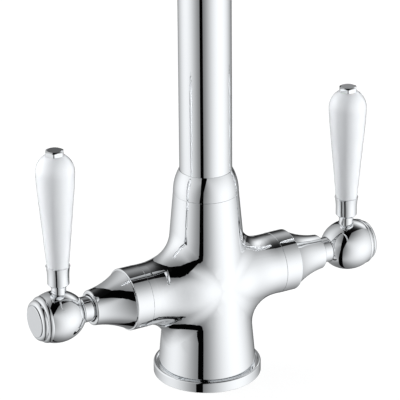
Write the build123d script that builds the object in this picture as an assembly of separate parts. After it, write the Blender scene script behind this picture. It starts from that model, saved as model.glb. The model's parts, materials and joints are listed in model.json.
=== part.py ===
from build123d import *

import os
from math import cos, pi, radians, sin, sqrt

# Two handle kitchen mixer tap, in millimetres. +Z is up. The origin is the centre of the base, level with the
# worktop. The swan-neck spout points to -Y at rest. The valve arms run along -X (left) and +X (right).
# Every piece is drawn in place and written to parts/ as a node of its own. Threads are plain cylinders.

# ---- clearances
TURN_GAP = 0.06          # radial play of a turning fit
SCREW_GAP = 0.04         # radial play of a screwed, pressed or brazed fit
SEAL_GAP = 0.05          # an O-ring's distance from the walls that it seals
FACE_GAP = 0.02          # film between two faces that slide on each other
SAME_PLACE = 0.01        # points nearer than this count as one

# ---- casting: conical column with two valve arms
WALL = 3.0               # wall of the hollow foot
FOOT_R = 23.5
FOOT_RIM_H = 5.4         # the column is straight up to the top of the base ring, and a cone above it
COLUMN_TOP_Z = 94.0
COLUMN_TOP_WALL = 1.4    # wall outside the collar's thread
COLUMN_TOP_EDGE = 0.25   # broken edge under the collar, which shows as a fine seam
ARM_Z = 48.0
ARM_WALL = 4.4           # wall outside the valve's thread
ARM_END = 36.5           # end face of an arm, from the column's axis
ARM_ROOT_IN = 0.3        # the arms' root stays this much inside the column's front
ARM_ROOT_S = 8.0         # the root keeps its radius out to here, from the column's axis
ARM_SWELL_S = 33.0       # and has narrowed to the plain arm here
ARM_BLEND = 14.0         # fillet between the arms and the column
MIX_R = 9.0              # mixing chamber under the spout's socket
MIX_DEPTH = 7.0
MIX_PASSAGE_R = 2.8      # slanting way from each valve to the mixing chamber
MIX_PASSAGE_S = 21.0     # where that way leaves the valve's bore, from the column's axis

# ---- water inlets and fixing stud under the base
INLET_X = 8.5
INLET_THREAD_R = 4.5     # M10x1, cut hole
INLET_THREAD_L = 12.0
INLET_BORE_R = 3.2
INLET_WALL = 2.5
STUD_Y = 12.0
STUD_R = 4.0             # M8
STUD_GRIP = 12.0         # length screwed into the casting
STUD_FREE = 62.0         # length below the worktop's surface
STUD_WALL = 2.4
STUD_CHAMFER = 0.8
STUD_ROOM = 0.25         # play of the stud in the plates under the worktop

# ---- base ring and its seal
BASE_RIM = 2.5           # how far the ring stands out from the column
BASE_EDGE = 0.8
BASE_FOOT_EDGE = 0.3
RECESS_W = 1.1           # stepped recess in the ring's top, round the column
RECESS_DEPTH = 0.8
RECESS_EDGE = 0.2
SHELF_T = 1.6            # shelf inside the ring that the casting stands on
SHELF_W = 3.5
SEAL_T = 1.6
SEAL_W = 4.2

# ---- fixing set, drawn as clamped under a worktop of usual thickness
WORKTOP_T = 30.0
SHOE_R = 26.0
SHOE_SLOT_W = 29.0       # open slot that the supply tails pass through
SHOE_SLOT_END_Y = 5.0
SHOE_CORNER_R = 5.0
SHOE_RUBBER_T = 3.0
SHOE_STEEL_T = 1.5
STUD_NUT_AF = 13.0
STUD_NUT_H = 10.0

# ---- spout and its swivel
TUBE_R = 12.5
TUBE_WALL = 1.2
BEND_Z = 245.0           # height where the swan neck begins
BEND_R = 100.0
DROP = 10.0              # straight end after the bend
STEM_STEP = 0.4          # the stem is this much larger than the tube
STEM_L = 14.0
STEM_BORE_R = 9.0
STEM_SPIGOT_L = 7.0
STEM_FLANGE_T = 2.0
STEM_FLANGE_PLAY = 0.3
SWIVEL_LEDGE = 1.24      # step between the socket and the collar's bore
SLIP_RING_T = 1.0
STEM_RING_D = 1.4        # O-ring section
STEM_RING_Z = (4.0, 9.0)  # O-rings, below the stem's flange
COLLAR_H = 11.5
COLLAR_ARC_R = 24.0
COLLAR_THREAD_L = 8.0

# ---- outlet and aerator
OUTLET_RING_W = 1.1      # how far the end ring stands out from the tube
OUTLET_RING_H = 6.0
OUTLET_SPIGOT_L = 8.0
OUTLET_WALL = 1.5
AERATOR_THREAD_L = 4.2
AERATOR_THREAD_WALL = 2.5
AERATOR_H = 4.5          # part of the aerator that shows
AERATOR_STEP = 1.4
AERATOR_WALL = 1.4
AERATOR_LIP = 0.7
AERATOR_HOLE_R = 0.9
AERATOR_HOLES = (6, 12)  # round the middle hole, in rings of even pitch
AERATOR_WASHER_T = 0.8

# ---- quarter turn valve, one in each arm; distances run outwards along the arm
VALVE_THREAD_R = 10.4    # half inch valve
VALVE_REACH = 20.0       # from the arm's end face in to the valve seat
VALVE_SLEEVE_WALL = 1.0
VALVE_SLEEVE_STEP = 1.4  # the sleeve is this much smaller than the thread
VALVE_LIFT = 1.0         # gap under the sleeve, which the rubber seal closes
SEAT_HOLE_R = 3.2
SEAT_SEAL_T = 2.5
SEAT_SEAL_BORE_R = 4.6
FIXED_DISC_T = 2.5
MOVING_DISC_T = 3.0
DISC_PORT_R = 2.2
DISC_PORT_OFFSET = 4.4
DRIVE_KEY_W = 3.0
DRIVE_KEY_L = 5.4        # short enough to leave the disc's ports free
DRIVE_KEY_H = 1.2
WINDOW_L = 3.0
WINDOW_W = 7.0
WINDOW_RIM = 0.4
THRUST_R = 6.4
THRUST_T = 1.5
HEX_AF = 20.0
HEX_T = 4.2
BONNET_R = 6.8
BONNET_L = 6.3
SPINDLE_R = 4.5
SPINDLE_RING_D = 1.0
SPINDLE_RING_S = (4.0, 9.0)   # O-rings, outwards from the thrust collar
SPLINE_TIP_R = 3.9
SPLINE_ROOT_R = 3.5
SPLINE_TEETH = 20
CLIP_T = 0.8
CLIP_W = 2.2
CLIP_OPENING = 6.0
VALVE_RING_D = 1.5
VALVE_RING_INSET = 2.5

# ---- ring and bell cover of an arm
RING_L = 8.7
RING_LIP = 0.1           # the ring is this much larger than the arm
RING_EDGE = 0.3
RING_FLANGE_T = 2.0
RING_HEX_ROOM = 0.35
BELL_L = 18.0
BELL_STEP = 0.75         # step from the ring down to the bell
BELL_RIM_L = 0.3
BELL_RIM_EDGE = 0.1
BELL_WAIST_S = 7.8       # middle point of the hollow curve, from the bell's rim
BELL_WAIST_DROP = 3.6    # its depth below the rim
BELL_LIP = 1.85          # width of the end face round the mouth
BELL_LIP_EDGE = 0.95
BELL_LIP_ROUND = 0.85
BELL_MOUTH_ROUND = 0.3
BELL_WALL = 1.4
BELL_INNER_SHIFT = 0.5   # the hollow's waist lies this much nearer to the ring than the outside's
BELL_SPIGOT_L = 2.2
BELL_SPIGOT_WALL = 1.2
MOUTH_GAP = 0.5

# ---- lever hub: an olive shaped body on a short neck
NECK_R = 6.1
NECK_LAP = 6.0           # length of the neck inside the bell
NECK_FILLET = 0.8
LEVER_OFFSET = 15.9      # from the bell's mouth to the lever's axis
HUB_SHIFT = 1.6          # from the lever's axis to the middle of the olive
HUB_R = 12.35
HUB_HALF_L = 14.4
HUB_FLAT = 6.5           # from the middle of the olive to its outer end face
HUB_WEB = 4.0            # web that the fixing screw pulls on
SPLINE_GRIP = 10.0
SPLINE_END_GAP = 0.4
SCREW_R = 2.0            # M4
SCREW_GRIP = 9.0
SCREW_HOLE_ROOM = 0.2
SCREW_HEAD_R = 3.6
SCREW_HEAD_H = 2.5
SCREW_HEAD_EDGE = 1.5
SCREW_SLOT_W = 1.0
SCREW_SLOT_L = 4.4
SCREW_SLOT_DEPTH = 1.3
POCKET_ROOM = 1.0

# ---- index cap: bead, shoulder and a raised plain face
CAP_PLUG_R = 6.0
CAP_PLUG_L = 2.9
CAP_BEAD_W = 0.1
CAP_BEAD_H = 2.3
CAP_BEAD_IN = 1.35
CAP_BEAD_MID = (0.27, 1.27)      # a point of the bead's arc: in from its foot, and above it
CAP_GROOVE_R_IN = 0.2
CAP_GROOVE_H = 0.4
CAP_SHOULDER_H = 4.6
CAP_SHOULDER_W = 1.75
CAP_SHOULDER_MID = (0.53, 1.3)   # a point of the shoulder's arc: in from its foot, and above it
CAP_FACE_IN = 0.35
CAP_FACE_DIP = 0.45
CAP_H = 5.1
CAP_FACE_EDGE = 0.3

# ---- lever: rod, ferrule, ceramic handle and tip nut
ROD_R = 2.5              # M5
ROD_ROOM = 0.15          # play of the rod in the ferrule and the ceramic
ROD_WALL = 1.0           # metal between the rod's hole and the screw's pocket
SPOT_DEPTH = 0.75        # spot face on the olive, below its top
SPOT_ROOM = 0.15
FERRULE_NECK_R = 3.5
FERRULE_NECK_L = 3.95
FERRULE_CHAMFER = 1.1
FERRULE_R = 5.15
FERRULE_STRAIGHT = 8.3
FERRULE_LIP_Z = 13.75
FERRULE_LIP_H = 0.45
FERRULE_LIP_W = 0.3
FERRULE_FLARE_IN = 0.1
FERRULE_LIP_EDGE = 0.15
CUP_ROOM = 0.25
CUP_DEPTH = 0.6
HANDLE_FOOT_R = 5.2
HANDLE_TAPER = 0.0906    # growth of the radius for each millimetre of height
HANDLE_TAPER_L = 36.3
HANDLE_R = 9.15
HANDLE_CROWN_Z = 46.9    # height of the widest place, from the handle's foot
HANDLE_CROWN_H = 9.5     # half height of the crown's ellipse
HANDLE_TOP_R = 4.4
HANDLE_FOOT_EDGE = 0.15
FOOT_WASHER_T = 0.3
TIP_WASHER_T = 0.3
TIP_WASHER_IN = 0.05
TIP_AF = 8.1
TIP_CORNER_R = 1.0       # rounding of the nut's upright edges
TIP_H = 2.3
TIP_DOME_R = 3.4
TIP_DOME_H = 0.6
TIP_GRIP = 1.7

# ---- sizes that follow from the ones above
SIDES = {"left": -1, "right": 1}
SHELF_TOP = SEAL_T + SHELF_T
BASE_R = FOOT_R + BASE_RIM
STEM_R = TUBE_R + STEM_STEP
SOCKET_R = STEM_R + TURN_GAP
CAP_BORE_R = SOCKET_R + SWIVEL_LEDGE
COLLAR_THREAD_R = CAP_BORE_R - SCREW_GAP
COLUMN_TOP_R = CAP_BORE_R + COLUMN_TOP_WALL
TUBE_BORE_R = TUBE_R - TUBE_WALL
UPPER_SLIP_Z = COLUMN_TOP_Z - COLLAR_THREAD_L - SLIP_RING_T
FLANGE_Z = UPPER_SLIP_Z - FACE_GAP - STEM_FLANGE_T
LOWER_SLIP_Z = FLANGE_Z - FACE_GAP - SLIP_RING_T
STEM_FOOT_Z = FLANGE_Z - STEM_L
SOCKET_FLOOR_Z = STEM_FOOT_Z - 2 * SLIP_RING_T
MIX_FLOOR_Z = SOCKET_FLOOR_Z - MIX_DEPTH
TUBE_FOOT_Z = FLANGE_Z + STEM_FLANGE_T
OUTLET_Y = -2 * BEND_R
OUTLET_Z = BEND_Z - DROP
AERATOR_R = TUBE_R + OUTLET_RING_W - AERATOR_THREAD_WALL

VALVE_BORE_R = VALVE_THREAD_R + SCREW_GAP
ARM_R = VALVE_BORE_R + ARM_WALL
SEAT_S = ARM_END - VALVE_REACH
SLEEVE_R = VALVE_THREAD_R - VALVE_SLEEVE_STEP
SLEEVE_BORE_R = SLEEVE_R - VALVE_SLEEVE_WALL
DISC_R = SLEEVE_BORE_R - TURN_GAP
FIXED_DISC_S = SEAT_S + SEAT_SEAL_T
MOVING_DISC_S = FIXED_DISC_S + FIXED_DISC_T + FACE_GAP
WINDOW_S = MOVING_DISC_S + MOVING_DISC_T + WINDOW_RIM
THRUST_S = WINDOW_S + WINDOW_L + WINDOW_RIM
SHOULDER_S = THRUST_S + THRUST_T + FACE_GAP
HEX_S = ARM_END + RING_FLANGE_T
HEX_END = HEX_S + HEX_T
BONNET_END = HEX_END + BONNET_L
ROOF_Z = ARM_Z - VALVE_BORE_R - WALL

RING_R = ARM_R + RING_LIP
RING_END = ARM_END + RING_L
RING_BORE_R = HEX_AF / 2 / cos(radians(30)) + RING_HEX_ROOM
BELL_END = RING_END + BELL_L
BELL_RIM_R = RING_R - BELL_STEP
MOUTH_R = NECK_R + MOUTH_GAP
BELL_END_R = MOUTH_R + BELL_LIP

LEVER_S = BELL_END + LEVER_OFFSET
HUB_S = LEVER_S + HUB_SHIFT
NECK_S = BELL_END - NECK_LAP
SPLINE_END = NECK_S + SPLINE_GRIP
HUB_WEB_S = SPLINE_END + SPLINE_END_GAP
POCKET_S = HUB_WEB_S + HUB_WEB
POCKET_R = SCREW_HEAD_R + POCKET_ROOM
CAP_SEAT_S = HUB_S + HUB_FLAT


def olive_radius(offset):
    """Radius of the hub's olive at a distance from its middle."""
    return HUB_R * sqrt(1 - (offset / HUB_HALF_L) ** 2)


CAP_R = olive_radius(HUB_FLAT) + CAP_BEAD_W
CAP_SHOULDER_R = CAP_R - CAP_BEAD_IN
CAP_FACE_R = CAP_SHOULDER_R - CAP_SHOULDER_W - CAP_FACE_IN
SPOT_UP = olive_radius(HUB_SHIFT) - SPOT_DEPTH
ROD_UP = POCKET_R + ROD_WALL
ROD_BORE_R = ROD_R + ROD_ROOM
FERRULE_Z = ARM_Z + SPOT_UP
CUP_R = HANDLE_FOOT_R + CUP_ROOM
LIP_R = CUP_R + FERRULE_LIP_W
CUP_FLOOR_Z = FERRULE_Z + FERRULE_LIP_Z + FERRULE_LIP_H - CUP_DEPTH
HANDLE_Z = CUP_FLOOR_Z + FOOT_WASHER_T
HANDLE_TOP_Z = HANDLE_Z + HANDLE_CROWN_Z + HANDLE_CROWN_H * sqrt(1 - (HANDLE_TOP_R / HANDLE_R) ** 2)
TIP_Z = HANDLE_TOP_Z + TIP_WASHER_T


def column_radius(z):
    """Outside radius of the column at a height."""
    share = (z - FOOT_RIM_H) / (COLUMN_TOP_Z - FOOT_RIM_H)
    return FOOT_R + (COLUMN_TOP_R - FOOT_R) * max(share, 0)


# ---- shapes used again and again
def rod(radius, low, high):
    """Upright cylinder on the Z axis between two heights."""
    return Pos(0, 0, low) * Cylinder(radius, high - low, align=(Align.CENTER, Align.CENTER, Align.MIN))


def tube(outside, inside, low, high):
    """Upright ring on the Z axis between two heights."""
    return rod(outside, low, high) - rod(inside, low, high)


def turned(outline, rounds=()):
    """Solid of revolution about Z. The outline is a closed run of (radius, height) points, or a face in the
    same plane. Each of the rounds is a (corner, radius) pair."""
    face = outline if isinstance(outline, Sketch) else make_face(Polyline(*outline, close=True))
    for corner, radius in rounds:
        face = fillet(face.vertices().sort_by_distance(corner)[0], radius)
    return revolve(Plane.XZ * face, Axis.Z)


def bore_between(start, end, radius):
    """Cylinder between two points."""
    along = Vector(*end) - Vector(*start)
    place = Plane(origin=start, z_dir=along)
    return place * Cylinder(radius, along.length, align=(Align.CENTER, Align.CENTER, Align.MIN))


def hexagon(across_flats, low, high):
    """Upright hexagonal prism on the Z axis."""
    return Pos(0, 0, low) * extrude(RegularPolygon(across_flats / 2, 6, major_radius=False), high - low)


def o_ring(inside, section, height):
    """O-ring on the Z axis that lies round a groove floor of the given radius."""
    return Pos(0, 0, height) * Torus(inside + section / 2 + SEAL_GAP, section / 2)


def groove(outside, section, height):
    """Ring to cut from a shaft, and the radius of its floor, for an O-ring that ends level with the shaft."""
    floor = outside - section - SEAL_GAP
    half = section / 2 + 2 * SEAL_GAP
    return tube(outside + section, floor, height - half, height + half), floor


def arm_frame(side):
    """Places a piece drawn along Z on an arm: its +Z points out along the arm and its +X points up."""
    return Plane(origin=(0, 0, ARM_Z), x_dir=(0, 0, 1), z_dir=(side, 0, 0))


def lever_frame(side):
    """Places a piece drawn about the Z axis, at its real height, on a lever's axis."""
    return Pos(side * LEVER_S, 0, 0)


# ---- casting and base
def skirt_hollow():
    """Space inside the foot of the casting, round the inlet pillars and the boss of the stud."""
    space = turned([
        (0, 0),
        (FOOT_R - WALL, 0),
        (FOOT_R - WALL, FOOT_RIM_H),
        (column_radius(ROOF_Z) - WALL, ROOF_Z),
        (0, ROOF_Z),
    ])
    for side in SIDES.values():
        space -= Pos(side * INLET_X, 0, 0) * rod(INLET_THREAD_R + INLET_WALL, 0, ROOF_Z)
    return space - Pos(0, STUD_Y, 0) * rod(STUD_R + STUD_WALL, 0, ROOF_Z)


def spout_socket():
    """Stepped bore for the spout's stem, its slip rings and the collar, over the mixing chamber."""
    return turned([
        (0, MIX_FLOOR_Z),
        (MIX_R, MIX_FLOOR_Z),
        (MIX_R, SOCKET_FLOOR_Z),
        (SOCKET_R, SOCKET_FLOOR_Z),
        (SOCKET_R, LOWER_SLIP_Z),
        (CAP_BORE_R, LOWER_SLIP_Z),
        (CAP_BORE_R, COLUMN_TOP_Z),
        (0, COLUMN_TOP_Z),
    ])


def waterways(side):
    """Inlet, valve bore and slanting way to the mixing chamber, on one side."""
    x = side * INLET_X
    thread = Pos(x, 0, 0) * rod(INLET_THREAD_R, 0, SHELF_TOP + INLET_THREAD_L)
    riser = Pos(x, 0, 0) * rod(INLET_BORE_R, 0, ARM_Z + INLET_BORE_R)
    to_seat = arm_frame(side) * rod(SEAT_HOLE_R, INLET_X, ARM_END)
    valve_bore = arm_frame(side) * rod(VALVE_BORE_R, SEAT_S, ARM_END)
    to_mix = bore_between(
        (side * MIX_PASSAGE_S, 0, ARM_Z + VALVE_BORE_R - MIX_PASSAGE_R),
        (side * MIX_PASSAGE_R, 0, MIX_FLOOR_Z + 2 * MIX_PASSAGE_R),
        MIX_PASSAGE_R,
    )
    return thread + riser + to_seat + valve_bore + to_mix


def arm_bar():
    """Both arms as one turned bar, which swells where it passes through the column."""
    root_r = column_radius(ARM_Z) - ARM_ROOT_IN
    root = (ARM_ROOT_S, root_r)
    plain = (ARM_SWELL_S, ARM_R)
    outline = Curve() + [
        Polyline((ARM_END, ARM_R), (ARM_END, 0), (0, 0), (0, root_r), root),
        Spline(root, plain, tangents=[(1, 0), (1, 0)]),
        Line(plain, (ARM_END, ARM_R)),
    ]
    half = Pos(0, 0, ARM_Z) * revolve(Plane.XZ * make_face(outline), Axis.X)
    return half + mirror(half, Plane.YZ)


def on_column(point):
    """Whether a point lies on the column's outside."""
    return abs(sqrt(point.X**2 + point.Y**2) - column_radius(point.Z)) < SAME_PLACE


def casting():
    seam_z = COLUMN_TOP_Z - COLUMN_TOP_EDGE
    seam_r = column_radius(seam_z)
    column = turned([
        (0, SHELF_TOP),
        (FOOT_R, SHELF_TOP),
        (FOOT_R, FOOT_RIM_H),
        (seam_r, seam_z),
        (seam_r - COLUMN_TOP_EDGE, COLUMN_TOP_Z),
        (0, COLUMN_TOP_Z),
    ])
    outside = column + arm_bar()
    plain = (GeomType.CIRCLE, GeomType.LINE)
    seams = [edge for edge in outside.edges() if edge.geom_type not in plain and on_column(edge @ 0.5)]
    outside = fillet(seams, ARM_BLEND)
    stud_hole = Pos(0, STUD_Y, 0) * rod(STUD_R + SCREW_GAP, 0, SHELF_TOP + STUD_GRIP + SCREW_GAP)
    body = outside - skirt_hollow() - spout_socket() - stud_hole
    for side in SIDES.values():
        body -= waterways(side)
    return body


def base_ring():
    bore = FOOT_R + SCREW_GAP
    shelf_in = FOOT_R - SHELF_W
    seal_room = shelf_in + SEAL_W + SCREW_GAP
    recess_r = bore + RECESS_W
    return turned(
        [
            (seal_room, 0),
            (BASE_R, 0),
            (BASE_R, FOOT_RIM_H),
            (recess_r, FOOT_RIM_H),
            (recess_r, FOOT_RIM_H - RECESS_DEPTH),
            (bore, FOOT_RIM_H - RECESS_DEPTH),
            (bore, SHELF_TOP),
            (shelf_in, SHELF_TOP),
            (shelf_in, SEAL_T),
            (seal_room, SEAL_T),
        ],
        [
            ((BASE_R, FOOT_RIM_H), BASE_EDGE),
            ((BASE_R, 0), BASE_FOOT_EDGE),
            ((recess_r, FOOT_RIM_H), RECESS_EDGE),
        ],
    )


def base_seal():
    inside = FOOT_R - SHELF_W
    return tube(inside + SEAL_W, inside, 0, SEAL_T)


# ---- fixing set
def fixing_stud():
    top = SHELF_TOP + STUD_GRIP
    stud = rod(STUD_R, -STUD_FREE, top)
    return chamfer(stud.edges().filter_by(GeomType.CIRCLE), STUD_CHAMFER)


def horseshoe(top, thickness):
    """Slotted washer under the worktop: the supply tails pass through its slot, the stud through its hole."""
    plate = Circle(SHOE_R) - Pos(0, STUD_Y) * Circle(STUD_R + STUD_ROOM)
    slot = Pos(0, SHOE_SLOT_END_Y) * Rectangle(SHOE_SLOT_W, SHOE_R * 2, align=(Align.CENTER, Align.MAX))
    slot = fillet(slot.vertices().group_by(Axis.Y)[-1], SHOE_CORNER_R)
    return Pos(0, 0, top - thickness) * extrude(plate - slot, thickness)


def fixing_nut():
    top = -WORKTOP_T - SHOE_RUBBER_T - SHOE_STEEL_T
    nut = hexagon(STUD_NUT_AF, top - STUD_NUT_H, top) - rod(STUD_R + SCREW_GAP, top - STUD_NUT_H, top)
    return Pos(0, STUD_Y, 0) * nut


# ---- spout
def spout_collar():
    """Screwed collar that holds the spout down. Its side is one arc, upright where it meets the column."""
    top_r = COLUMN_TOP_R - COLLAR_ARC_R + sqrt(COLLAR_ARC_R ** 2 - COLLAR_H ** 2)
    foot = (COLUMN_TOP_R, COLUMN_TOP_Z)
    top = (top_r, COLUMN_TOP_Z + COLLAR_H)
    bore = TUBE_R + TURN_GAP
    thread_z = COLUMN_TOP_Z - COLLAR_THREAD_L
    side = TangentArc(foot, top, tangent=(0, 1))
    rest = Polyline(
        top,
        (bore, COLUMN_TOP_Z + COLLAR_H),
        (bore, thread_z),
        (COLLAR_THREAD_R, thread_z),
        (COLLAR_THREAD_R, COLUMN_TOP_Z),
        foot,
    )
    return turned(make_face(side + rest))


def slip_rings():
    """Two plastic rings that the stem's flange turns between."""
    outside = CAP_BORE_R - SCREW_GAP
    lower = tube(outside, STEM_R + TURN_GAP, LOWER_SLIP_Z, LOWER_SLIP_Z + SLIP_RING_T)
    upper = tube(outside, TUBE_R + TURN_GAP, UPPER_SLIP_Z, UPPER_SLIP_Z + SLIP_RING_T)
    return lower, upper


def spout_stem():
    """Brass stem brazed into the foot of the tube, and the O-rings in its two grooves."""
    spigot_r = TUBE_BORE_R - SCREW_GAP
    flange_top = FLANGE_Z + STEM_FLANGE_T
    stem = turned([
        (STEM_BORE_R, STEM_FOOT_Z),
        (STEM_R, STEM_FOOT_Z),
        (STEM_R, FLANGE_Z),
        (CAP_BORE_R - STEM_FLANGE_PLAY, FLANGE_Z),
        (CAP_BORE_R - STEM_FLANGE_PLAY, flange_top),
        (spigot_r, flange_top),
        (spigot_r, flange_top + STEM_SPIGOT_L),
        (STEM_BORE_R, flange_top + STEM_SPIGOT_L),
    ])
    rings = []
    for drop in STEM_RING_Z:
        cut, floor = groove(STEM_R, STEM_RING_D, FLANGE_Z - drop)
        stem -= cut
        rings.append(o_ring(floor, STEM_RING_D, FLANGE_Z - drop))
    return stem, Compound(children=rings)


def swan_neck(radius):
    """Solid along the spout's line: straight up, half a circle forwards and down, and a short drop."""
    bend_axis = Axis((0, -BEND_R, BEND_Z), (1, 0, 0))
    bend = revolve(Pos(0, 0, BEND_Z) * Circle(radius), bend_axis, 180)
    drop = Pos(0, OUTLET_Y, 0) * rod(radius, OUTLET_Z, BEND_Z)
    return rod(radius, TUBE_FOOT_Z, BEND_Z) + bend + drop


def spout_tube():
    return swan_neck(TUBE_R) - swan_neck(TUBE_BORE_R)


def outlet_pieces():
    """Ring at the spout's end, and the aerator that screws into it."""
    ring_r = TUBE_R + OUTLET_RING_W
    spigot_r = TUBE_BORE_R - SCREW_GAP
    inner_r = spigot_r - OUTLET_WALL
    female_r = AERATOR_R + SCREW_GAP
    step_z = -OUTLET_RING_H + AERATOR_THREAD_L + AERATOR_WASHER_T
    ring = turned(
        [
            (female_r, -OUTLET_RING_H),
            (ring_r, -OUTLET_RING_H),
            (ring_r, 0),
            (spigot_r, 0),
            (spigot_r, OUTLET_SPIGOT_L),
            (inner_r, OUTLET_SPIGOT_L),
            (inner_r, step_z),
            (female_r, step_z),
        ],
        [((ring_r, -OUTLET_RING_H), OUTLET_RING_W), ((ring_r, 0), OUTLET_RING_W)],
    )
    washer = tube(AERATOR_R, inner_r - AERATOR_LIP, step_z - AERATOR_WASHER_T, step_z)
    low = -OUTLET_RING_H - AERATOR_H
    shown_r = AERATOR_R + AERATOR_STEP
    insert_r = AERATOR_R - AERATOR_WALL
    housing = turned(
        [
            (insert_r - AERATOR_LIP, low),
            (shown_r, low),
            (shown_r, -OUTLET_RING_H),
            (AERATOR_R, -OUTLET_RING_H),
            (AERATOR_R, step_z - AERATOR_WASHER_T),
            (insert_r, step_z - AERATOR_WASHER_T),
            (insert_r, low + AERATOR_LIP),
            (insert_r - AERATOR_LIP, low + AERATOR_LIP),
        ],
        [((shown_r, low), AERATOR_LIP)],
    )
    flat = 2 * shown_r - AERATOR_STEP
    housing &= Box(2 * flat, flat, 4 * (OUTLET_RING_H + AERATOR_H))
    insert_low = low + AERATOR_LIP
    insert = rod(insert_r - SCREW_GAP, insert_low, step_z - AERATOR_WASHER_T)
    holes = Circle(AERATOR_HOLE_R)
    pitch = (insert_r - AERATOR_LIP) / (len(AERATOR_HOLES) + 1)
    for number, count in enumerate(AERATOR_HOLES, start=1):
        holes += PolarLocations(pitch * number, count) * Circle(AERATOR_HOLE_R)
    insert -= Pos(0, 0, insert_low) * extrude(holes, OUTLET_RING_H + AERATOR_H)
    place = Pos(0, OUTLET_Y, OUTLET_Z)
    return {
        "spout_end_ring": place * ring,
        "aerator_washer": place * washer,
        "aerator_housing": place * housing,
        "aerator_insert": place * insert,
    }


# ---- valve, drawn along Z with the distance from the column's axis as its height
def serration(grow):
    """Toothed outline of the spindle's end, as a sketch. It is larger by the given amount all round."""
    points = []
    for index in range(2 * SPLINE_TEETH):
        radius = (SPLINE_ROOT_R if index % 2 else SPLINE_TIP_R) + grow
        angle = pi * index / SPLINE_TEETH
        points.append((radius * cos(angle), radius * sin(angle)))
    return make_face(Polyline(*points, close=True))


def valve_body():
    """Brass valve body: slotted sleeve, thread, hexagon and bonnet, with the O-ring under the hexagon."""
    low = SEAT_S + VALVE_LIFT
    body = turned([
        (SLEEVE_BORE_R, low),
        (SLEEVE_R, low),
        (SLEEVE_R, SHOULDER_S),
        (VALVE_THREAD_R, SHOULDER_S),
        (VALVE_THREAD_R, HEX_S),
        (BONNET_R, HEX_S),
        (BONNET_R, BONNET_END),
        (SPINDLE_R + TURN_GAP, BONNET_END),
        (SPINDLE_R + TURN_GAP, SHOULDER_S),
        (SLEEVE_BORE_R, SHOULDER_S),
    ])
    body += hexagon(HEX_AF, HEX_S, HEX_END) - rod(BONNET_R, HEX_S, HEX_END)
    body -= Pos(0, 0, WINDOW_S + WINDOW_L / 2) * Box(WINDOW_W, 3 * SLEEVE_R, WINDOW_L)
    cut, floor = groove(VALVE_THREAD_R, VALVE_RING_D, ARM_END - VALVE_RING_INSET)
    return body - cut, o_ring(floor, VALVE_RING_D, ARM_END - VALVE_RING_INSET)


def disc(low, thickness, turn):
    """Ceramic disc with two ports on a line that is turned from the upright by the given angle."""
    ports = Circle(DISC_R)
    for reach in (-DISC_PORT_OFFSET, DISC_PORT_OFFSET):
        ports -= Rot(0, 0, turn) * Pos(reach, 0) * Circle(DISC_PORT_R)
    return Pos(0, 0, low) * extrude(ports, thickness)


def moving_disc():
    blank = disc(MOVING_DISC_S, MOVING_DISC_T, 90)
    top = MOVING_DISC_S + MOVING_DISC_T
    slot = Box(DRIVE_KEY_W + 2 * SCREW_GAP, DRIVE_KEY_L + 2 * SCREW_GAP, 2 * (DRIVE_KEY_H + SCREW_GAP))
    return blank - Rot(0, 0, 90) * Pos(0, 0, top) * slot


def spindle():
    """Spindle with its driving key, thrust collar, clip groove and serrated end, and its two O-rings."""
    key_top = MOVING_DISC_S + MOVING_DISC_T
    clip_low = BONNET_END + FACE_GAP
    stem_end = clip_low + 2 * CLIP_T
    shaft = rod(SPINDLE_R, key_top + FACE_GAP, stem_end)
    shaft += rod(THRUST_R, THRUST_S, THRUST_S + THRUST_T)
    shaft -= tube(SPINDLE_R + CLIP_W, SPLINE_ROOT_R, clip_low, clip_low + CLIP_T)
    shaft += Pos(0, 0, stem_end) * extrude(serration(0), SPLINE_END - stem_end)
    key = Rot(0, 0, 90) * Box(DRIVE_KEY_W, DRIVE_KEY_L, 2 * DRIVE_KEY_H)
    shaft += Pos(0, 0, key_top) * key
    shaft -= rod(SCREW_R + SCREW_GAP, SPLINE_END - SCREW_GRIP - 2 * SCREW_GAP, SPLINE_END)
    rings = []
    for reach in SPINDLE_RING_S:
        height = THRUST_S + THRUST_T + reach
        cut, floor = groove(SPINDLE_R, SPINDLE_RING_D, height)
        shaft -= cut
        rings.append(o_ring(floor, SPINDLE_RING_D, height))
    return shaft, Compound(children=rings)


def spindle_clip():
    low = BONNET_END + FACE_GAP
    inside = SPLINE_ROOT_R + SCREW_GAP
    clip = tube(inside + CLIP_W, inside, low, low + CLIP_T)
    return clip - Pos(-inside - CLIP_W, 0, low) * Box(2 * CLIP_W + inside, CLIP_OPENING, 4 * CLIP_T)


def arm_ring():
    """Ring clamped between the arm and the valve's hexagon. The bell screws into it."""
    return turned(
        [
            (VALVE_BORE_R, ARM_END),
            (RING_R, ARM_END),
            (RING_R, RING_END),
            (RING_BORE_R, RING_END),
            (RING_BORE_R, HEX_S),
            (VALVE_BORE_R, HEX_S),
        ],
        [((RING_R, ARM_END), RING_EDGE), ((RING_R, RING_END), RING_EDGE)],
    )


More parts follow.
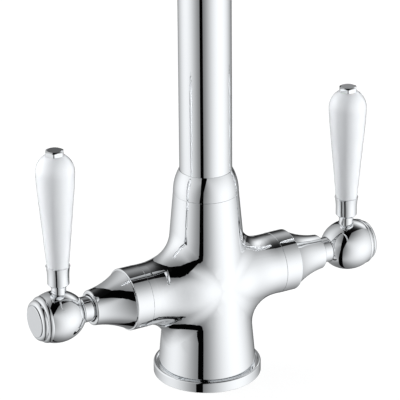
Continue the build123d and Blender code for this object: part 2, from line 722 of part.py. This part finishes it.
def bell():
    """Bell cover: a hollow curve from the rim to a rounded lip, with a spigot that screws into the ring."""
    spigot_r = RING_BORE_R - SCREW_GAP
    spigot_low = RING_END - BELL_SPIGOT_L
    rim_top = (BELL_RIM_R, RING_END + BELL_RIM_L)
    waist = (BELL_RIM_R - BELL_WAIST_DROP, RING_END + BELL_WAIST_S)
    lip = (BELL_END_R, BELL_END - BELL_LIP_EDGE)
    corner = (BELL_END_R, BELL_END)
    inner_waist = (waist[0] - BELL_WALL, waist[1] - BELL_INNER_SHIFT)
    inner_lip = (BELL_END_R - BELL_WALL, BELL_END - 2 * BELL_WALL)
    inner_rim = (spigot_r - BELL_SPIGOT_WALL, RING_END + BELL_RIM_L)
    outer = ThreePointArc(rim_top, waist, lip)
    end = Polyline(lip, corner, (MOUTH_R, BELL_END), (MOUTH_R, BELL_END - BELL_WALL), inner_lip)
    inner = ThreePointArc(inner_lip, inner_waist, inner_rim)
    foot = Polyline(
        inner_rim,
        (spigot_r - BELL_SPIGOT_WALL, spigot_low),
        (spigot_r, spigot_low),
        (spigot_r, RING_END),
        (BELL_RIM_R, RING_END),
        rim_top,
    )
    rounds = [
        (rim_top, BELL_RIM_EDGE),
        (corner, BELL_LIP_ROUND),
        ((MOUTH_R, BELL_END), BELL_MOUTH_ROUND),
    ]
    return turned(make_face(outer + end + inner + foot), rounds)


# ---- lever hub, drawn along Z like the valve
def hub():
    junction = HUB_S - HUB_HALF_L * sqrt(1 - (NECK_R / HUB_R) ** 2)
    kept = Pos(0, NECK_S) * Rectangle(HUB_R * 2, CAP_SEAT_S - NECK_S, align=(Align.MIN, Align.MIN))
    neck = Pos(0, NECK_S) * Rectangle(NECK_R, HUB_S - NECK_S, align=(Align.MIN, Align.MIN))
    profile = (Pos(0, HUB_S) * Ellipse(HUB_R, HUB_HALF_L) & kept) + neck
    olive = turned(profile, [((NECK_R, junction), NECK_FILLET)])
    olive -= Pos(0, 0, NECK_S) * extrude(serration(SCREW_GAP), HUB_WEB_S - NECK_S)
    olive -= rod(SCREW_R + SCREW_HOLE_ROOM, HUB_WEB_S, POCKET_S)
    olive -= rod(POCKET_R, POCKET_S, CAP_SEAT_S)
    olive -= rod(CAP_PLUG_R + SCREW_GAP, CAP_SEAT_S - CAP_PLUG_L - SCREW_GAP, CAP_SEAT_S)
    upright = Pos(0, 0, LEVER_S) * Rot(0, 90, 0)
    olive -= upright * rod(ROD_R + SCREW_GAP, ROD_UP - SCREW_GAP, HUB_R)
    olive -= upright * rod(FERRULE_NECK_R + SPOT_ROOM, SPOT_UP, HUB_R)
    return olive


def hub_screw():
    """Screw that pulls the hub onto the spindle, with a domed head and a cross slot."""
    head_top = POCKET_S + SCREW_HEAD_H
    screw = rod(SCREW_R, SPLINE_END - SCREW_GRIP, POCKET_S)
    head = turned(
        [(0, POCKET_S), (SCREW_HEAD_R, POCKET_S), (SCREW_HEAD_R, head_top), (0, head_top)],
        [((SCREW_HEAD_R, head_top), SCREW_HEAD_EDGE)],
    )
    slot = Box(SCREW_SLOT_L, SCREW_SLOT_W, 2 * SCREW_SLOT_DEPTH)
    cross = slot + Rot(0, 0, 90) * slot
    return screw + head - Pos(0, 0, head_top) * cross


def index_cap():
    """Pressed-in end cap: a round bead, a rounded shoulder and a raised plain face."""
    bead_foot = (CAP_R, CAP_SEAT_S)
    bead_mid = (CAP_R - CAP_BEAD_MID[0], CAP_SEAT_S + CAP_BEAD_MID[1])
    bead_top = (CAP_SHOULDER_R, CAP_SEAT_S + CAP_BEAD_H)
    groove_r = CAP_SHOULDER_R - CAP_GROOVE_R_IN
    groove_top = CAP_SEAT_S + CAP_BEAD_H + CAP_GROOVE_H
    shoulder_foot = (CAP_SHOULDER_R, groove_top)
    shoulder_top_r = CAP_SHOULDER_R - CAP_SHOULDER_W
    shoulder_mid = (CAP_SHOULDER_R - CAP_SHOULDER_MID[0], groove_top + CAP_SHOULDER_MID[1])
    shoulder_top = (shoulder_top_r, CAP_SEAT_S + CAP_SHOULDER_H)
    face_top = CAP_SEAT_S + CAP_H
    dip = CAP_SEAT_S + CAP_SHOULDER_H - CAP_FACE_DIP
    bead = ThreePointArc(bead_foot, bead_mid, bead_top)
    waist = Polyline(bead_top, (groove_r, CAP_SEAT_S + CAP_BEAD_H), (groove_r, groove_top), shoulder_foot)
    shoulder = ThreePointArc(shoulder_foot, shoulder_mid, shoulder_top)
    rest = Polyline(
        shoulder_top,
        (shoulder_top_r, dip),
        (CAP_FACE_R, dip),
        (CAP_FACE_R, face_top),
        (0, face_top),
        (0, CAP_SEAT_S - CAP_PLUG_L),
        (CAP_PLUG_R, CAP_SEAT_S - CAP_PLUG_L),
        (CAP_PLUG_R, CAP_SEAT_S),
        bead_foot,
    )
    return turned(make_face(bead + waist + shoulder + rest), [((CAP_FACE_R, face_top), CAP_FACE_EDGE)])


# ---- lever, drawn about its own axis at its real height
def lever_rod():
    return rod(ROD_R, ARM_Z + ROD_UP, TIP_Z + TIP_GRIP - SCREW_GAP)


def ferrule():
    """Turned brass ferrule: slim neck, chamfered barrel, and a flared lip round the handle's foot."""
    lip_low = FERRULE_Z + FERRULE_LIP_Z
    lip_top = lip_low + FERRULE_LIP_H
    barrel_low = FERRULE_Z + FERRULE_NECK_L
    flare_foot = (FERRULE_R, FERRULE_Z + FERRULE_STRAIGHT)
    flare_top = (LIP_R - FERRULE_FLARE_IN, lip_low)
    barrel = Polyline(
        (ROD_BORE_R, CUP_FLOOR_Z),
        (ROD_BORE_R, FERRULE_Z),
        (FERRULE_NECK_R, FERRULE_Z),
        (FERRULE_NECK_R, barrel_low),
        (FERRULE_R - FERRULE_CHAMFER, barrel_low),
        (FERRULE_R, barrel_low + FERRULE_CHAMFER),
        flare_foot,
    )
    flare = TangentArc(flare_foot, flare_top, tangent=(0, 1))
    cup = Polyline(
        flare_top,
        (LIP_R, lip_low + FERRULE_FLARE_IN),
        (LIP_R, lip_top),
        (CUP_R, lip_top),
        (CUP_R, CUP_FLOOR_Z),
        (ROD_BORE_R, CUP_FLOOR_Z),
    )
    return turned(make_face(barrel + flare + cup), [((LIP_R, lip_top), FERRULE_LIP_EDGE)])


def handle():
    """Glazed ceramic handle: a slim taper, a tangent arc to its widest place and an elliptical crown."""
    foot = (HANDLE_FOOT_R, HANDLE_Z)
    taper_top = (HANDLE_FOOT_R + HANDLE_TAPER * HANDLE_TAPER_L, HANDLE_Z + HANDLE_TAPER_L)
    crown_z = HANDLE_Z + HANDLE_CROWN_Z
    widest = (HANDLE_R, crown_z)
    crown_box = Pos(0, crown_z) * Rectangle(HANDLE_R, HANDLE_TOP_Z - crown_z, align=(Align.MIN, Align.MIN))
    crown = Pos(0, crown_z) * Ellipse(HANDLE_R, HANDLE_CROWN_H) & crown_box
    taper = Polyline((0, crown_z), (0, HANDLE_Z), foot, taper_top)
    flank = TangentArc(taper_top, widest, tangent=(HANDLE_TAPER, 1))
    stem = make_face(taper + flank + Line(widest, (0, crown_z)))
    body = turned(stem, [(foot, HANDLE_FOOT_EDGE)]) + turned(crown)
    return body - rod(ROD_BORE_R, HANDLE_Z, HANDLE_TOP_Z)


def tip_nut():
    """Low blind nut with a chamfered crown, which clamps the handle on the rod."""
    prism = hexagon(TIP_AF, TIP_Z, TIP_Z + TIP_H)
    prism = fillet(prism.edges().filter_by(Axis.Z), TIP_CORNER_R)
    corner_r = TIP_AF / 2 / cos(radians(30))
    crown = turned([
        (0, TIP_Z),
        (corner_r, TIP_Z),
        (corner_r, TIP_Z + TIP_H - TIP_DOME_H),
        (TIP_DOME_R, TIP_Z + TIP_H),
        (0, TIP_Z + TIP_H),
    ])
    return (prism & crown) - rod(ROD_R + SCREW_GAP, TIP_Z, TIP_Z + TIP_GRIP)


# ---- all the nodes
def arm_nodes(name, side):
    """Pieces of one valve arm: those that stand still, and those that turn with the lever."""
    arm = arm_frame(side)
    lever = lever_frame(side)
    body, body_ring = valve_body()
    shaft, shaft_rings = spindle()
    pieces = {
        "arm_ring": arm * arm_ring(),
        "bell_cover": arm * bell(),
        "valve_body": arm * body,
        "valve_o_ring": arm * body_ring,
        "seat_seal": arm * tube(DISC_R, SEAT_SEAL_BORE_R, SEAT_S, FIXED_DISC_S),
        "fixed_disc": arm * disc(FIXED_DISC_S, FIXED_DISC_T, 0),
        "moving_disc": arm * moving_disc(),
        "spindle": arm * shaft,
        "spindle_o_rings": arm * shaft_rings,
        "spindle_clip": arm * spindle_clip(),
        "lever_hub": arm * hub(),
        "hub_screw": arm * hub_screw(),
        "index_cap": arm * index_cap(),
        "lever_rod": lever * lever_rod(),
        "ferrule": lever * ferrule(),
        "handle": lever * handle(),
        "foot_washer": lever * tube(HANDLE_FOOT_R, ROD_BORE_R, CUP_FLOOR_Z, HANDLE_Z),
        "tip_washer": lever * tube(TIP_AF / 2 - TIP_WASHER_IN, ROD_BORE_R, HANDLE_TOP_Z, TIP_Z),
        "tip_nut": lever * tip_nut(),
    }
    return {f"{name}_{piece}": shape for piece, shape in pieces.items()}


def all_nodes():
    stem, stem_rings = spout_stem()
    lower_ring, upper_ring = slip_rings()
    rubber_top = -WORKTOP_T
    nodes = {
        "body_casting": casting(),
        "base_ring": base_ring(),
        "base_seal": base_seal(),
        "fixing_stud": Pos(0, STUD_Y, 0) * fixing_stud(),
        "rubber_horseshoe": horseshoe(rubber_top, SHOE_RUBBER_T),
        "steel_horseshoe": horseshoe(rubber_top - SHOE_RUBBER_T, SHOE_STEEL_T),
        "fixing_nut": fixing_nut(),
        "spout_collar": spout_collar(),
        "lower_slip_ring": lower_ring,
        "upper_slip_ring": upper_ring,
        "spout_stem": stem,
        "spout_o_rings": stem_rings,
        "spout_tube": spout_tube(),
    }
    nodes.update(outlet_pieces())
    for name, side in SIDES.items():
        nodes.update(arm_nodes(name, side))
    return nodes


os.makedirs("parts", exist_ok=True)
for node, shape in all_nodes().items():
    export_step(shape, f"parts/{node}.step")
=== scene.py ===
import json
from math import cos, radians, sin

import bpy
from mathutils import Matrix, Vector

# Looks of a two handle kitchen mixer tap: mirror chrome, glazed handles, and the plainer metals, seals and
# plastics that it holds inside. Metres, +Z up. The tap stands on the plane z = 0 and its fixing set hangs below
# that plane.

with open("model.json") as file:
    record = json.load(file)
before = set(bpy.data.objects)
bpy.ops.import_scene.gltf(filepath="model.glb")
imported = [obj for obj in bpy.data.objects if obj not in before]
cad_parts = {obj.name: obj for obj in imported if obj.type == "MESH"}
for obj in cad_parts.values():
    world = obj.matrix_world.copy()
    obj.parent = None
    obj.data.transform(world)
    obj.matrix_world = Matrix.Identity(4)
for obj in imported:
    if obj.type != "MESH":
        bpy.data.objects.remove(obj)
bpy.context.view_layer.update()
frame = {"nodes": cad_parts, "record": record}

# ---- the photograph's viewpoint: angles in degrees, pixels of a 400 x 400 picture
IMAGE_PX = 400
VIEW_AZIMUTH = -29.64
VIEW_ELEVATION = 23.22
VIEW_ROLL = -0.48
VIEW_DISTANCE = 1.3196
FOCAL_PX = 2714.5
ORIGIN_PX = (207.2, 368.6)     # where the centre of the tap's base shows
SENSOR_MM = 36.0

# ---- studio
FLOOR_HALF = 1.1               # half side of the floor
FLOOR_DIFFUSE = 0.2            # share of the floor's brightness that a shadow can take away
FLOOR_LIGHT = 0.6              # how bright the softboxes make a white floor
WHITE = 1.0
FILL_LIGHT = 0.02              # even light that the world adds on matt surfaces
SURROUND_R = 20.0
SURROUND_DARK = 0.001
CHROME_SHARE = 0.9             # share of the light that chrome gives back
SHOWN_POWER = 2.2              # from brightness in the picture to strength of light
MATT_POWER = 7.0               # matt surfaces are lit more from the softboxes' middles
MATT_LIGHT = 8.6               # strength of that light
SOFTBOX_TINT = (0.985, 1.0, 1.015)

# Azimuth is from the camera's direction to its right, and tilt is up. Across and along are a softbox's reach
# from the foot of its perpendicular, as shares of its distance. It is as bright as middle round its centre, an
# angle each way in radians, and fades to edge over the spread. Both are as they show in the picture.
SOFTBOXES = {
    "left_softbox": dict(
        azimuth=-103.8, tilt=2.3, roll=24.2, distance=1.24, across=(-12.0, 11.5), along=(-5.48, 6.63),
        middle=0.986, edge=0.378, centre=(0.25, -0.064), spread=(1.258, 1.551),
    ),
    "right_softbox": dict(
        azimuth=73.7, tilt=-14.4, roll=-37.2, distance=1.194, across=(-6.17, 12.0), along=(-3.96, 8.58),
        middle=1.016, edge=0.206, centre=(-0.101, 0.01), spread=(1.723, 1.588),
    ),
    "back_softbox": dict(
        azimuth=160.9, tilt=29.6, roll=9.9, distance=2.0, across=(-0.527, 0.591), along=(-0.728, 2.404),
        middle=0.978, edge=0.068, centre=(-0.208, 0.066), spread=(0.599, 0.432),
    ),
}
STUD_PITCH = 0.00125


# ---- helpers for node trees
class Shader:
    """Short names for building one node tree."""

    def __init__(self, tree):
        self.tree = tree
        tree.nodes.clear()

    def add(self, kind, settings=None, **inputs):
        node = self.tree.nodes.new(kind)
        for name, value in (settings or {}).items():
            setattr(node, name, value)
        for name, value in inputs.items():
            self.feed(node, name.replace("_", " "), value)
        return node

    def feed(self, node, name, value):
        socket = node.inputs[int(name[1:])] if name[0] == "i" and name[1:].isdigit() else node.inputs[name]
        if isinstance(value, bpy.types.NodeSocket):
            self.tree.links.new(value, socket)
        else:
            socket.default_value = value

    def math(self, operation, *values):
        node = self.add("ShaderNodeMath", {"operation": operation})
        for place, value in enumerate(values):
            self.feed(node, f"i{place}", value)
        return node.outputs[0]

    def coordinates(self, kind="Object"):
        return self.add("ShaderNodeTexCoord").outputs[kind]

    def noise(self, scale, detail=3.0, stretch=None):
        """Noise in the object's own space, of so many cells to the metre, stretched by a share on each axis."""
        place = self.coordinates()
        if stretch:
            mapping = self.add("ShaderNodeMapping", Vector=place)
            mapping.inputs["Scale"].default_value = stretch
            place = mapping.outputs[0]
        return self.add("ShaderNodeTexNoise", Vector=place, Scale=scale, Detail=detail).outputs["Fac"]

    def between(self, share, low, high):
        node = self.add("ShaderNodeMapRange", Value=share)
        node.inputs["To Min"].default_value = low
        node.inputs["To Max"].default_value = high
        return node.outputs[0]

    def shade(self, share, dark, light):
        """Colour between two others."""
        node = self.add("ShaderNodeMix", {"data_type": "RGBA"})
        self.feed(node, "i0", share)
        node.inputs[6].default_value = (*dark, 1)
        node.inputs[7].default_value = (*light, 1)
        return node.outputs[2]

    def bump(self, height, depth, strength=1.0):
        return self.add("ShaderNodeBump", Height=height, Distance=depth, Strength=strength).outputs[0]


def material(name, build):
    made = bpy.data.materials.new(name)
    made.use_nodes = True
    shader = Shader(made.node_tree)
    surface = build(shader)
    out = shader.add("ShaderNodeOutputMaterial", Surface=surface)
    out.is_active_output = True
    return made


def principled(shader, **inputs):
    return shader.add("ShaderNodeBsdfPrincipled", None, **inputs).outputs[0]


# ---- materials of the tap
def chrome(s):
    """Bright plating under a faint haze that comes and goes."""
    haze = s.noise(60, 4)
    colour = s.shade(haze, (0.885, 0.895, 0.905), (0.905, 0.915, 0.925))
    return principled(s, Base_Color=colour, Metallic=1.0, Roughness=s.between(haze, 0.01, 0.03))


def glazed_ceramic(s):
    """White glaze over a white body, a little thicker in places."""
    cloud = s.noise(90, 3)
    colour = s.shade(cloud, (0.82, 0.83, 0.85), (0.87, 0.88, 0.89))
    wave = s.bump(s.noise(140, 2), 0.00004, 0.25)
    return principled(
        s, Base_Color=colour, Roughness=s.between(cloud, 0.28, 0.36), IOR=1.52, Normal=wave,
        Coat_Weight=1.0, Coat_Roughness=0.04, Coat_IOR=1.9,
    )


def lapped_ceramic(s):
    grain = s.noise(1500, 2)
    colour = s.shade(grain, (0.70, 0.68, 0.63), (0.80, 0.78, 0.74))
    return principled(s, Base_Color=colour, Roughness=0.35, Normal=s.bump(grain, 0.00002, 0.3))


def machined_brass(s):
    """Turned brass: fine rings from the tool, and a duller tone where it has been handled."""
    tone = s.noise(120, 4)
    rings = s.noise(900, 2, (1.0, 1.0, 5.0))
    colour = s.shade(tone, (0.48, 0.31, 0.11), (0.62, 0.43, 0.18))
    return principled(
        s, Base_Color=colour, Metallic=1.0, Roughness=s.between(tone, 0.24, 0.38),
        Normal=s.bump(rings, 0.00005, 0.35),
    )


def plated_steel(s):
    tone = s.noise(150, 4)
    brushed = s.noise(700, 2, (1.0, 1.0, 8.0))
    colour = s.shade(tone, (0.36, 0.37, 0.39), (0.50, 0.51, 0.53))
    return principled(
        s, Base_Color=colour, Metallic=1.0, Roughness=s.between(tone, 0.28, 0.42),
        Normal=s.bump(brushed, 0.00005, 0.4),
    )


def screw_thread(s):
    """Zinc plated rod with the M8 thread's ridges, which the plain cylinder doesn't have."""
    height = s.add("ShaderNodeSeparateXYZ", Vector=s.coordinates()).outputs["Z"]
    ridge = s.math("PINGPONG", height, STUD_PITCH / 2)
    tone = s.noise(200, 3)
    colour = s.shade(tone, (0.34, 0.35, 0.37), (0.48, 0.49, 0.51))
    return principled(
        s, Base_Color=colour, Metallic=1.0, Roughness=s.between(tone, 0.26, 0.4),
        Normal=s.bump(ridge, 1.0, 1.0),
    )


def black_rubber(s):
    grain = s.noise(1200, 4)
    colour = s.shade(grain, (0.012, 0.012, 0.013), (0.03, 0.03, 0.032))
    return principled(
        s, Base_Color=colour, Roughness=s.between(grain, 0.6, 0.8), Normal=s.bump(grain, 0.0001, 0.4),
    )


def white_acetal(s):
    grain = s.noise(400, 3)
    colour = s.shade(grain, (0.74, 0.74, 0.71), (0.82, 0.82, 0.79))
    return principled(
        s, Base_Color=colour, Roughness=s.between(grain, 0.38, 0.5), Normal=s.bump(grain, 0.00003, 0.3),
        Subsurface_Weight=0.15, Subsurface_Scale=0.002,
    )


FINISHES = {
    "chrome": chrome,
    "white_ceramic": glazed_ceramic,
    "disc_ceramic": lapped_ceramic,
    "brass": machined_brass,
    "steel": plated_steel,
    "black_rubber": black_rubber,
    "white_acetal": white_acetal,
}


def dress(obj, finish):
    obj.data.materials.clear()
    obj.data.materials.append(finish)


def dress_nodes():
    """Every node gets the finish of its slot in the record, and the stud its thread."""
    finishes = {slot: material(slot, build) for slot, build in FINISHES.items()}
    for part in frame["record"]["subparts"]:
        dress(frame["nodes"][part["node"]], finishes[part["material_slot"]])
    dress(frame["nodes"]["fixing_stud"], material("screw_thread", screw_thread))


# ---- viewpoint
def view_axes():
    """Right, up and back of the camera, in the tap's frame."""
    azimuth, elevation = radians(VIEW_AZIMUTH), radians(VIEW_ELEVATION)
    back = Vector((sin(azimuth) * cos(elevation), -cos(azimuth) * cos(elevation), sin(elevation)))
    right = Vector((cos(azimuth), sin(azimuth), 0))
    roll = Matrix.Rotation(radians(VIEW_ROLL), 3, back)
    return roll @ right, roll @ back.cross(right), back


def add_camera():
    right, up, back = view_axes()
    aside = (IMAGE_PX / 2 - ORIGIN_PX[0]) / FOCAL_PX * VIEW_DISTANCE
    above = (ORIGIN_PX[1] - IMAGE_PX / 2) / FOCAL_PX * VIEW_DISTANCE
    data = bpy.data.cameras.new("camera")
    data.sensor_width = SENSOR_MM
    data.lens = FOCAL_PX / IMAGE_PX * SENSOR_MM
    camera = bpy.data.objects.new("camera", data)
    place = VIEW_DISTANCE * back + aside * right + above * up
    camera.matrix_world = Matrix.Translation(place) @ Matrix((right, up, back)).transposed().to_4x4()
    bpy.context.scene.collection.objects.link(camera)
    bpy.context.scene.camera = camera


# ---- studio: softboxes in dark surroundings, as the chrome in the photograph shows them
def stage_mesh(name, corners, finish, seen_by):
    """A stage face, seen only by the kinds of ray named."""
    mesh = bpy.data.meshes.new(name)
    mesh.from_pydata(corners, [], [tuple(range(len(corners)))])
    obj = bpy.data.objects.new(name, mesh)
    obj.data.materials.append(finish)
    bpy.context.scene.collection.objects.link(obj)
    show_to(obj, seen_by)
    return obj


def show_to(obj, seen_by):
    obj.visible_camera = "camera" in seen_by
    obj.visible_diffuse = "diffuse" in seen_by
    obj.visible_glossy = "glossy" in seen_by
    obj.visible_transmission = "transmission" in seen_by
    obj.visible_shadow = "shadow" in seen_by


def seen_directly(s):
    """1 for rays from the camera, a mirror or glass, and 0 for the light that falls on matt surfaces."""
    path = s.add("ShaderNodeLightPath").outputs
    mirrored = s.math("MAXIMUM", path["Is Glossy Ray"], path["Is Transmission Ray"])
    return s.math("MAXIMUM", path["Is Camera Ray"], mirrored)


def softbox(name, azimuth, tilt, roll, distance, across, along, middle, edge, centre, spread):
    """A large flat softbox, which fades from its middle to its edge."""

    def glow(s):
        place = s.add("ShaderNodeSeparateXYZ", Vector=s.coordinates())
        off = []
        for axis, mid, width in zip("XY", centre, spread):
            angle = s.math("ARCTANGENT", s.math("DIVIDE", place.outputs[axis], distance))
            share = s.math("DIVIDE", s.math("SUBTRACT", angle, mid), width)
            off.append(s.math("POWER", s.math("ABSOLUTE", share), 2.0))
        fall = s.math("EXPONENT", s.math("MULTIPLY", s.math("ADD", *off), -1.0))
        shown = s.math("MULTIPLY_ADD", fall, middle - edge, edge)
        matt = s.add("ShaderNodeLightPath").outputs["Is Diffuse Ray"]
        power = s.math("MULTIPLY_ADD", matt, MATT_POWER - SHOWN_POWER, SHOWN_POWER)
        level = s.math("MULTIPLY_ADD", matt, MATT_LIGHT - 1 / CHROME_SHARE, 1 / CHROME_SHARE)
        strength = s.math("MULTIPLY", s.math("POWER", shown, power), level)
        return s.add("ShaderNodeEmission", Strength=strength, Color=(*SOFTBOX_TINT, 1)).outputs[0]

    (left, right), (low, high) = across, along
    reach = ((left, low), (right, low), (right, high), (left, high))
    corners = [(distance * u, distance * v, 0) for u, v in reach]
    box = stage_mesh(name, corners, material(name, glow), ("glossy", "diffuse"))
    to_camera = Matrix.Rotation(radians(VIEW_AZIMUTH), 4, "Z")
    a, t = radians(azimuth), radians(tilt)
    # the camera stands on -Y of its own frame; +X is its right
    normal = Vector((sin(a) * cos(t), -cos(a) * cos(t), sin(t)))
    side = Vector((cos(a), sin(a), 0))
    rise = Vector((-sin(a) * sin(t), cos(a) * sin(t), cos(t)))
    turned = Matrix((side, rise, normal)).transposed().to_4x4() @ Matrix.Rotation(radians(roll), 4, "Z")
    box.matrix_world = to_camera @ Matrix.Translation(normal * distance) @ turned


def add_surround():
    """Dark walls behind the softboxes: what polished metal sees between them."""
    def dark(s):
        return s.add("ShaderNodeEmission", Color=(SURROUND_DARK,) * 3 + (1,)).outputs[0]

    bpy.ops.mesh.primitive_ico_sphere_add(subdivisions=3, radius=SURROUND_R)
    walls = bpy.context.object
    walls.name = "dark_surround"
    walls.data.materials.append(material("dark_surround", dark))
    show_to(walls, ("glossy",))


def add_floor():
    """Pale floor. Its own glow makes it white, and its matt share takes the tap's shadow."""
    def pale(s):
        matt = s.add("ShaderNodeBsdfDiffuse", Color=(FLOOR_DIFFUSE,) * 3 + (1,)).outputs[0]
        strength = s.math("MULTIPLY", seen_directly(s), WHITE - FLOOR_LIGHT * FLOOR_DIFFUSE)
        glow = s.add("ShaderNodeEmission", Strength=strength).outputs[0]
        return s.add("ShaderNodeAddShader", None, i0=matt, i1=glow).outputs[0]

    corners = [(x * FLOOR_HALF, y * FLOOR_HALF, 0) for x, y in ((-1, -1), (1, -1), (1, 1), (-1, 1))]
    stage_mesh("floor", corners, material("floor", pale), ("camera", "diffuse", "transmission", "shadow"))


def add_world():
    """White behind everything that is seen, and a soft even fill on matt surfaces."""
    world = bpy.data.worlds.new("studio")
    bpy.context.scene.world = world
    world.use_nodes = True
    s = Shader(world.node_tree)
    strength = s.math("MULTIPLY_ADD", seen_directly(s), WHITE - FILL_LIGHT, FILL_LIGHT)
    background = s.add("ShaderNodeBackground", Strength=strength, Color=(1, 1, 1, 1))
    s.add("ShaderNodeOutputWorld", Surface=background.outputs[0])


def add_studio():
    add_world()
    add_floor()
    add_surround()
    for name, sizes in SOFTBOXES.items():
        softbox(name, **sizes)


dress_nodes()
add_camera()
add_studio()
bpy.context.scene.view_settings.view_transform = "Standard"
